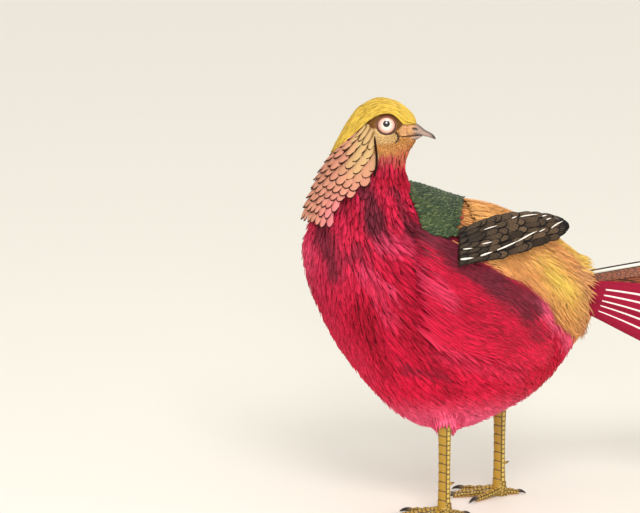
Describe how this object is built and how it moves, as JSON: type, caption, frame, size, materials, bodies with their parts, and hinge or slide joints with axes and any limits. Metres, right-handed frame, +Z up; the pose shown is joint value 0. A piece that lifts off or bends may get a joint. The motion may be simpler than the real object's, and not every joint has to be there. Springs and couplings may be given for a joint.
{
  "type": "golden pheasant",
  "caption": "Life-size golden pheasant cock standing with its head turned back, with crest, layered cape, scaled mantle, folded wings and a long arched tail.",
  "frame": {"origin": "centre of the bounding box at the level of the soles", "axes": "+X towards the tail, +Z up, +Y towards the bird's right side"},
  "size_m": [0.9108, 0.1482, 0.3683],
  "materials": {
    "ochre": "short facial plumage",
    "horn": "smooth horn",
    "iris": "wet, glossy",
    "yellow": "silky crest feathers",
    "salmon": "broad cape feathers with dark edges",
    "rust": "short throat plumage",
    "crimson": "dense body plumage",
    "green": "scaled metallic mantle feathers",
    "golden": "hair-like rump feathers",
    "maroon": "rounded shoulder feathers",
    "umber": "dark flight feathers",
    "scarlet": "narrow tail coverts",
    "chestnut": "mottled tail feathers",
    "legs": "scaled skin",
    "claws": "smooth horn"
  },
  "bodies": {
    "root": {"bill_lower": "horn", "bill_upper": "horn", "cape": "salmon", "claw_left_back": "claws", "claw_left_inner": "claws", "claw_left_middle": "claws", "claw_left_outer": "claws", "claw_right_back": "claws", "claw_right_inner": "claws", "claw_right_middle": "claws", "claw_right_outer": "claws", "crest": "yellow", "eye_left": "iris", "eye_right": "iris", "foot_left": "legs", "foot_right": "legs", "head": "ochre", "leg_left": "legs", "leg_right": "legs", "mantle": "green", "neck": "rust", "rump": "golden", "rump_locks": "golden", "shoulder_left": "maroon", "shoulder_right": "maroon", "tail": "chestnut", "tail_coverts_left": "scarlet", "tail_coverts_right": "scarlet", "torso": "crimson", "wing_left": "umber", "wing_right": "umber"}
  },
  "joints": []
}
